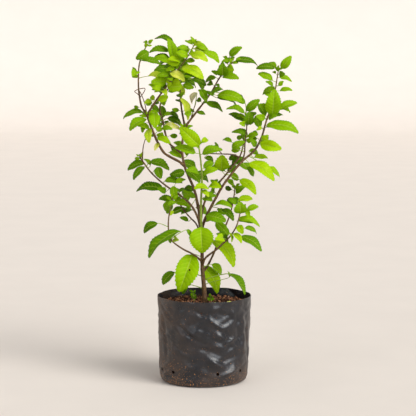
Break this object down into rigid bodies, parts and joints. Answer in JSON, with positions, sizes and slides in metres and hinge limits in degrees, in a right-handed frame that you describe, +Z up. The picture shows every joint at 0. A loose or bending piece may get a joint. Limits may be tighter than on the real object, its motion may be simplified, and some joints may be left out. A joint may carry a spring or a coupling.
{
  "type": "potted holy basil plant",
  "caption": "Bushy holy basil plant with toothed leaves on thin brown stems, growing in soil in a creased black film nursery bag.",
  "frame": {"origin": "centre of the flat underside of the nursery bag", "axes": "+Z up along the plant, +X across the front to the right, -Y towards the front"},
  "size_m": [0.2443, 0.1341, 0.487],
  "materials": {
    "film": "satin",
    "earth": "matte",
    "leaf_green": "satin",
    "dry_leaf": "matte"
  },
  "bodies": {
    "root": {"grow_bag": "film", "soil": "earth", "main_stem": "leaf_green", "upper_left_stem": "leaf_green", "inner_left_stem": "leaf_green", "front_stem": "leaf_green", "right_stem": "leaf_green", "right_back_stem": "leaf_green", "left_stem": "leaf_green", "left_thin_stem": "leaf_green", "left_low_stem": "leaf_green", "right_low_stem": "leaf_green", "right_low_back_stem": "leaf_green", "weed_sprig_1": "leaf_green", "weed_sprig_2": "leaf_green", "fallen_leaf_1": "dry_leaf", "fallen_leaf_2": "dry_leaf", "fallen_leaf_3": "dry_leaf", "fallen_leaf_4": "dry_leaf"}
  },
  "joints": []
}
